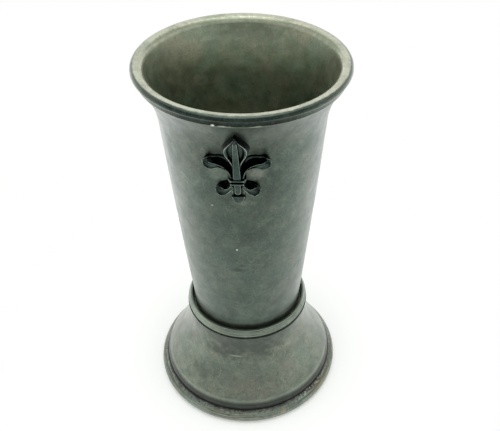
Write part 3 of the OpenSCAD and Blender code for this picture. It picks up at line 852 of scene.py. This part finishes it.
def add_relief(tree, shader, height):
    """Lets the light fall as on a surface raised by a height in metres."""
    bump = add(tree, "ShaderNodeBump", {"Height": height, "Distance": 1.0})
    tree.links.new(bump.outputs[0], shader.inputs["Normal"])


def faces_in(tree, here):
    """1 on the cup's inner side and floor, whose faces look towards the axis or up, and 0 on its outside."""
    normal = add(tree, "ShaderNodeNewGeometry").outputs["Normal"]
    outwards = add(tree, "ShaderNodeVectorMath", {0: here, 1: (1, 1, 0)}, operation="MULTIPLY").outputs[0]
    facing = add(tree, "ShaderNodeVectorMath", {0: normal, 1: outwards},
                 operation="DOT_PRODUCT").outputs["Value"]
    return add(tree, "ShaderNodeMath", {0: facing, 1: 1 * MM}, operation="LESS_THAN").outputs[0]


def inner_patina(tree, here):
    """The cup's inner side: warmer greys, painted paler below the mouth as painted light, and with
    painted shade at the back of the mouth.
    """
    height = add(tree, "ShaderNodeSeparateXYZ", {"Vector": here}).outputs["Z"]
    # Painted light: paler below the mouth
    depth = add(tree, "ShaderNodeMapRange", {"Value": height, "From Min": INSIDE_LIT_FROM_Z,
                                             "From Max": INSIDE_LIT_FULL_Z}).outputs[0]
    mouth = patina(tree, here, "#7f8a76", "#868570", "#66715d", "#9da690", 0.5)
    lit_inside = patina(tree, here, "#a0b29c", "#b2b09b", "#87967f", "#bcc7b2", 0.5)
    # Painted shade at the back of the mouth
    return painted(tree, marked(tree, here, mouth, MOUTH_BACK_SHADE), (depth, 1.0, lit_inside))


def dulled_wall_pewter():
    """Turned pewter sheet under an old grey-green patina, which gives a soft glow and cloudy patches."""
    material, tree, shader, here = start_metal("dulled_wall_pewter")
    outside = patina(tree, here, "#3b4b41", "#475045", "#2b3830", "#60705f")
    outside = marked(tree, here, outside, WALL_MARKS)
    height = add(tree, "ShaderNodeSeparateXYZ", {"Vector": here}).outputs["Z"]
    high = add(tree, "ShaderNodeMapRange", {"Value": height, "From Min": STAINED_FROM_Z,
                                            "From Max": STAINED_FULL_Z}).outputs[0]
    stained = add(tree, "ShaderNodeMath", {0: clouds(tree, here, 3.2 * MM, 0.5, 0.62, 4.0), 1: high},
                  operation="MULTIPLY").outputs[0]
    # Painted light: the wall paler just above the collar
    low = add(tree, "ShaderNodeMapRange", {"Value": height, "From Min": WALL_LIT_FROM_Z,
                                           "From Max": COLLAR_Z}, interpolation_type="SMOOTHSTEP").outputs[0]
    outside = painted(tree, outside, (stained, 0.45, "#2c352e"), (low, 0.75, "#8e988a"))
    # Darker in the inner corner at the floor
    inside = painted(tree, inner_patina(tree, here),
                     (height_band(tree, here, FLOOR_TOP_Z, 2.5 * MM), 0.8, "#24261d"))
    colour = painted(tree, outside, (faces_in(tree, here), 1.0, inside))
    finish_metal(tree, shader, here, colour, lathe_lines(tree, here, 0.45 * MM))
    return material


def worn_lip_pewter():
    """Solid turned pewter that lips keep rubbed: bright and warm on its flat land, and black with old
    tarnish on the bead and in the cove, which painted light makes grey on the sides and back, so that
    only the front above the ornament stays black. A painted highlight runs along the lower arris, and
    painted shade darkens the land's inner edge at the back."""
    material, tree, shader, here = start_metal("worn_lip_pewter", wax=0.15)
    radius = radius_of(tree, here)
    _, depth, height = add(tree, "ShaderNodeSeparateXYZ", {"Vector": here}).outputs
    # Painted light: the lip paler on its sides and back than in front
    bead_lit = add(tree, "ShaderNodeMapRange", {"Value": depth, "From Min": BEAD_LIT_FROM_Y,
                                               "From Max": BEAD_LIT_FULL_Y}).outputs[0]
    colour = patina(tree, here, "#1d2a23", "#262f28", "#101915", "#46544c", 0.1)
    colour = painted(tree, colour, (band(tree, here, radius, BEAD_CREST_R, 0.35 * MM), 0.6, "#54625a"),
                     (bead_lit, 0.65, patina(tree, here, "#6a756a", "#6e7367", "#505a50", "#8e988b")),
                     # Painted highlight: a pale line along the lip's lower arris
                     (height_band(tree, here, LIP_Z, 0.35 * MM), 0.7, "#87927f"))
    # Painted highlights: glints on the lower arris
    colour = marked(tree, here, colour, LIP_ARRIS_GLINTS)
    ragged = add(tree, "ShaderNodeMath", {0: clouds(tree, here, 3 * MM, 0.2, 0.8, 4.0), 1: 0.3 * MM,
                                          2: radius}, operation="MULTIPLY_ADD").outputs[0]
    within = add(tree, "ShaderNodeMapRange", {"Value": ragged, "From Min": RUBBED_FROM_R,
                                              "From Max": RUBBED_FULL_R}).outputs[0]
    on_top = add(tree, "ShaderNodeMapRange", {"Value": height, "From Min": RUBBED_FROM_Z,
                                              "From Max": RUBBED_FULL_Z}).outputs[0]
    rubbed = add(tree, "ShaderNodeMath", {0: within, 1: on_top}, operation="MULTIPLY").outputs[0]
    # Painted shade on the land's inner edge at the back
    behind = add(tree, "ShaderNodeMapRange", {"Value": depth, "From Min": ROLLED_FROM_Y,
                                              "From Max": ROLLED_FULL_Y}).outputs[0]
    rolled_shade = add(tree, "ShaderNodeMath", {0: band(tree, here, radius, ROLLED_R, 0.9 * MM), 1: behind},
                 operation="MULTIPLY").outputs[0]
    colour = painted(tree, colour, (faces_in(tree, here), 1.0, inner_patina(tree, here)),
                     (rubbed, 1.0, patina(tree, here, "#c2c7b3", "#c6c5b2", "#98a08c", "#dcdfce", 0.2)),
                     (rolled_shade, 0.7, "#6a745f"))
    finish_metal(tree, shader, here, colour, lathe_lines(tree, here, 0.3 * MM), RUBBED, SHALLOW_DENT_H)
    return material


def dulled_collar_pewter():
    """A turned moulding, darker in its groove, with painted shade along the underside of its bead,
    and rubbed paler in streaks along the bead.
    """
    material, tree, shader, here = start_metal("dulled_collar_pewter")
    lines = lathe_lines(tree, here, 0.35 * MM)
    streaks = add(tree, "ShaderNodeMapRange", {"Value": lines, "From Min": 0.5, "From Max": 0.68}).outputs[0]
    colour = patina(tree, here, "#606d60", "#686b5e", "#434e44", "#87927f", 0.4)
    colour = painted(tree, colour, (streaks, 0.6, "#a0aa9b"),
                     (height_band(tree, here, COLLAR_Z - QUIRK_H, 0.25 * MM), 0.5, "#232a24"),
                     # Painted shade along the underside of the bead
                     (height_band(tree, here, FOOT_H, 1.3 * MM), 0.75, "#262e27"))
    finish_metal(tree, shader, here, colour, lines, dents=SHALLOW_DENT_H)
    return material


def dulled_foot_pewter():
    """The spun foot: the wall's patina, rubbed paler because hands hold it, with painted shade in front
    under the collar, all round under the collar and on its skirt, a painted highlight along its
    shoulder, a dark seam and a few stains."""
    material, tree, shader, here = start_metal("dulled_foot_pewter")
    colour = patina(tree, here, "#5b665a", "#65685c", "#464f45", "#818a7d", 0.6)
    colour = marked(tree, here, colour, FOOT_MARKS)
    _, depth, height = add(tree, "ShaderNodeSeparateXYZ", {"Vector": here}).outputs
    # Painted shade in front under the collar
    front = add(tree, "ShaderNodeMapRange", {"Value": depth, "From Min": NECK_SHADE_FROM_Y,
                                             "From Max": NECK_SHADE_FULL_Y}).outputs[0]
    high = add(tree, "ShaderNodeMapRange", {"Value": height, "From Min": NECK_SHADE_FROM_Z,
                                            "From Max": NECK_SHADE_FULL_Z}).outputs[0]
    neck_shade = add(tree, "ShaderNodeMath", {0: front, 1: high}, operation="MULTIPLY").outputs[0]
    # Painted shade on the skirt above the seam
    skirt = add(tree, "ShaderNodeMapRange", {"Value": height, "From Min": SKIRT_SHADE_FROM_Z,
                                             "From Max": SKIRT_SHADE_FULL_Z}).outputs[0]
    colour = painted(tree, colour, (neck_shade, 0.55, "#363e38"),
                     # Painted shade all round under the collar
                     (height_band(tree, here, FOOT_H, 1.2 * MM), 0.3, "#2a322b"),
                     # Painted highlight along the shoulder
                     (height_band(tree, here, SHOULDER_HIGHLIGHT_Z, 0.7 * MM), 0.25, "#8a9486"),
                     # Painted shade on the skirt, and the dark seam
                     (skirt, 0.85, "#151a15"), (height_band(tree, here, SEAM_TOP_Z, 1.3 * MM), 0.95, "#0e120e"))
    finish_metal(tree, shader, here, colour, lathe_lines(tree, here, 0.5 * MM))
    return material


def scuffed_patina(tree, here, lines):
    """Knocked and scraped grey with dark and bright lines along it, and brown dirt ground in on one side."""
    scored = add(tree, "ShaderNodeMapRange", {"Value": lines, "From Min": 0.48,
                                              "From Max": 0.36}).outputs[0]
    scraped = add(tree, "ShaderNodeMapRange", {"Value": lines, "From Min": 0.54,
                                               "From Max": 0.66}).outputs[0]
    colour = patina(tree, here, "#69746a", "#6e6f62", "#4b5247", "#8f988b", 0.7)
    colour = painted(tree, colour, (scored, 0.6, "#373d35"), (scraped, 0.5, "#a0a89a"))
    return marked(tree, here, colour, BROWN_DIRT)


def scuffed_ring_pewter():
    """The base ring, which takes the knocks: dull grey with fine lines and dents."""
    material, tree, shader, here = start_metal("scuffed_ring_pewter")
    lines = lathe_lines(tree, here, 0.3 * MM)
    finish_metal(tree, shader, here, scuffed_patina(tree, here, lines), lines, SCUFFED, KNOCK_H)
    return material


def crusted_solder():
    """Soft solder that was wiped on with an iron: dull and crumbly, black beside the foot, and with pits and
    bright crumbs where it was patched."""
    material, tree, shader, here = start_metal("crusted_solder", 0.5)
    crust = clouds(tree, here, 0.8 * MM, 0.3, 0.7, 5.0)
    pits = add(tree, "ShaderNodeMapRange", {"Value": crust, "From Min": 0.35, "From Max": 0.2}).outputs[0]
    crumbs = add(tree, "ShaderNodeMapRange", {"Value": crust, "From Min": 0.62, "From Max": 0.8}).outputs[0]
    patched = marked(tree, here, "#000000", SOLDER_PATCH)
    bright = add(tree, "ShaderNodeMath", {0: crumbs, 1: patched}, operation="MULTIPLY").outputs[0]
    colour = painted(tree, scuffed_patina(tree, here, lathe_lines(tree, here, 0.3 * MM)),
                     (height_band(tree, here, SEAM_TOP_Z, 1.3 * MM), 1.0, "#0a0e0b"),
                     (pits, 0.8, "#1a1e19"), (bright, 0.6, "#b0b2a2"))
    tree.links.new(colour, shader.inputs["Base Color"])
    height = add(tree, "ShaderNodeMath", {0: crust, 1: CRUST_H}, operation="MULTIPLY")
    add_relief(tree, shader, height.outputs[0])
    return material


def blackened_cast_pewter():
    """Cast pewter that was blackened and then rubbed: black in the hollows, black on the upper slopes
    from blackening and painted shade, paler on the lower slopes as painted light, dark grey on the
    faces and the lobes' cheeks, and bright along every edge."""
    material, tree, shader, here = start_metal("blackened_cast_pewter", 0.36, 0.0)
    near = add(tree, "ShaderNodeAttribute", attribute_name="near_rise").outputs["Fac"]
    wide = add(tree, "ShaderNodeAttribute", attribute_name="wide_rise").outputs["Fac"]
    edges = add(tree, "ShaderNodeMapRange", {"Value": near, "From Min": 0.035,
                                             "From Max": 0.07}).outputs[0]
    creases = add(tree, "ShaderNodeMapRange", {"Value": near, "From Min": -0.02,
                                               "From Max": -0.06}).outputs[0]
    hollows = add(tree, "ShaderNodeMapRange", {"Value": wide, "From Min": 0.05,
                                               "From Max": -0.25}).outputs[0]
    normal = add(tree, "ShaderNodeNewGeometry").outputs["Normal"]
    up = add(tree, "ShaderNodeSeparateXYZ", {"Vector": normal}).outputs["Z"]
    # Painted shade on the upper slopes, over their blackening, and painted light on the lower slopes
    upper = add(tree, "ShaderNodeMapRange", {"Value": up, "From Min": 0.05, "From Max": 0.22}).outputs[0]
    lower = add(tree, "ShaderNodeMapRange", {"Value": up, "From Min": -0.15, "From Max": -0.6}).outputs[0]
    colour = patina(tree, here, "#3b4b46", "#404a43", "#283630", "#566860", 0.8)
    colour = painted(tree, colour, (lower, 0.7, "#68776e"), (hollows, 0.55, "#0e1613"),
                     (creases, 0.9, "#050907"), (edges, 0.9, "#94a298"), (upper, 1.0, "#010202"))
    tree.links.new(marked(tree, here, colour, LOBE_CHEEKS), shader.inputs["Base Color"])
    height = add(tree, "ShaderNodeMath", {0: clouds(tree, here, 0.7 * MM, 0.2, 0.8, 4.0), 1: CAST_GRAIN_H},
                 operation="MULTIPLY")
    add_relief(tree, shader, height.outputs[0])
    return material


# The stage


def make_camera():
    """Puts the camera where the photograph's was, with the fitted lens and shift."""
    ahead = Vector((0, cos(CAMERA_PITCH), -sin(CAMERA_PITCH)))
    up = Vector((0, sin(CAMERA_PITCH), cos(CAMERA_PITCH)))
    right = Vector((1, 0, 0))
    ahead, right = (cos(CAMERA_YAW) * ahead + sin(CAMERA_YAW) * right,
                    cos(CAMERA_YAW) * right - sin(CAMERA_YAW) * ahead)
    right, up = (cos(CAMERA_ROLL) * right + sin(CAMERA_ROLL) * up,
                 cos(CAMERA_ROLL) * up - sin(CAMERA_ROLL) * right)
    pose = Matrix((right, up, -ahead)).transposed().to_4x4()
    pose.translation = Vector((0, -CAMERA_BACK, CAMERA_RISE))
    data = bpy.data.cameras.new("camera")
    data.sensor_width = SENSOR_MM
    data.lens = SENSOR_MM * FOCAL_PX / PHOTO_W
    data.shift_x = (PHOTO_W / 2 - CENTRE_PX[0]) / PHOTO_W
    data.shift_y = (CENTRE_PX[1] - PHOTO_H / 2) / PHOTO_W
    data.clip_start = 5 * MM
    camera = new_object("camera", data)
    camera.matrix_world = Matrix.Rotation(CAMERA_ROUND, 4, "Z") @ pose
    bpy.context.scene.camera = camera


def seen(tree):
    """1 for what the camera sees itself, in a reflection or through glass, and 0 for the light on things."""
    path = add(tree, "ShaderNodeLightPath").outputs
    either = add(tree, "ShaderNodeMath", {0: path["Is Camera Ray"], 1: path["Is Glossy Ray"]},
                 operation="MAXIMUM").outputs[0]
    return add(tree, "ShaderNodeMath", {0: either, 1: path["Is Transmission Ray"]},
               operation="MAXIMUM").outputs[0]


def make_paper():
    """A round of white paper, which keeps a faint shadow, and shines more in the metal than it looks."""
    form = bmesh.new()
    bmesh.ops.create_circle(form, cap_ends=True, segments=128, radius=PAPER_R)
    mesh = bpy.data.meshes.new("paper")
    form.to_mesh(mesh)
    form.free()
    paper = new_object("paper", mesh)
    material = bpy.data.materials.new("white_paper")
    material.use_nodes = True
    tree = material.node_tree
    tree.nodes.clear()
    matt = add(tree, "ShaderNodeBsdfDiffuse", {"Color": linear("#eceeeb")})
    in_metal = add(tree, "ShaderNodeLightPath").outputs["Is Glossy Ray"]
    shone = add(tree, "ShaderNodeMath", {0: in_metal, 1: PAPER_SHINE}, operation="MULTIPLY").outputs[0]
    strength = add(tree, "ShaderNodeMath", {0: seen(tree), 1: PAPER_GLOW, 2: shone},
                   operation="MULTIPLY_ADD").outputs[0]
    glow = add(tree, "ShaderNodeEmission", {"Strength": strength})
    both = add(tree, "ShaderNodeAddShader", {0: matt.outputs[0], 1: glow.outputs[0]})
    add(tree, "ShaderNodeOutputMaterial", {"Surface": both.outputs[0]})
    mesh.materials.append(material)


def make_world():
    """A white room that is lit from both sides, low down, so that the beaker's flanks shine."""
    world = bpy.data.worlds.new("white_room")
    bpy.context.scene.world = world
    world.use_nodes = True
    tree = world.node_tree
    tree.nodes.clear()
    level = add(tree, "ShaderNodeMapRange", {"Value": seen(tree), "To Min": ROOM_LIGHT}).outputs[0]
    x, y, z = add(tree, "ShaderNodeSeparateXYZ",
                  {"Vector": add(tree, "ShaderNodeTexCoord").outputs["Generated"]}).outputs
    aside = add(tree, "ShaderNodeMath", {0: x}, operation="ABSOLUTE").outputs[0]
    behind = add(tree, "ShaderNodeMath", {0: y, 1: 0.35, 2: aside}, operation="MULTIPLY_ADD").outputs[0]
    sides = add(tree, "ShaderNodeMapRange", {"Value": behind, "From Min": 0.3, "From Max": 0.8,
                                             "To Max": SIDE_GLOW},
                interpolation_type="SMOOTHSTEP").outputs[0]
    low = add(tree, "ShaderNodeMapRange", {"Value": z, "From Min": 0.4, "From Max": -0.1},
              interpolation_type="SMOOTHSTEP").outputs[0]
    lit = add(tree, "ShaderNodeMath", {0: sides, 1: low, 2: level}, operation="MULTIPLY_ADD").outputs[0]
    camera = add(tree, "ShaderNodeLightPath").outputs["Is Camera Ray"]
    strength = add(tree, "ShaderNodeMix", {"Factor": camera, "A": lit, "B": 1.0},
                   data_type="FLOAT").outputs["Result"]
    light = add(tree, "ShaderNodeBackground", {"Color": (1, 1, 1, 1), "Strength": strength})
    add(tree, "ShaderNodeOutputWorld", {"Surface": light.outputs[0]})


def make_lamp():
    """A large softbox overhead and a little in front."""
    data = bpy.data.lights.new("overhead_softbox", "AREA")
    data.size = LAMP_SIZE
    data.energy = LAMP_WATTS
    lamp = new_object("overhead_softbox", data)
    lamp.location = LAMP_PLACE
    lamp.rotation_euler = (LAMP_AIM - LAMP_PLACE).to_track_quat("-Z", "Y").to_euler()


make_camera()
make_paper()
make_world()
make_lamp()

TURNING = turning_tree()
WALL_FINISH, SOLDER_FINISH = dulled_wall_pewter(), crusted_solder()
turn_piece("turned_wall", "beaker_wall", wall_section(), WALL_FINISH, SHOWN_FACETS)
turn_piece("turned_lip", "lip_bead", lip_section(), worn_lip_pewter(), SHOWN_FACETS)
turn_piece("turned_floor", "cup_floor", floor_section(), WALL_FINISH)
turn_piece("floor_solder_ring", "floor_solder", floor_solder_section(), SOLDER_FINISH)
turn_piece("turned_collar", "collar_ring", collar_section(), dulled_collar_pewter(), SHOWN_FACETS)
turn_piece("collar_solder_ring", "collar_solder", collar_solder_section(), SOLDER_FINISH)
turn_piece("spun_bell", "foot_bell", bell_section(), dulled_foot_pewter(), SHOWN_FACETS)
turn_piece("turned_base_ring", "foot_ring", ring_section(), scuffed_ring_pewter(), SHOWN_FACETS)
turn_piece("ragged_foot_solder", "foot_solder", foot_solder_section(), SOLDER_FINISH, SEAM_FACETS)
make_fleur(blackened_cast_pewter())

bpy.context.scene.view_settings.view_transform = "Standard"
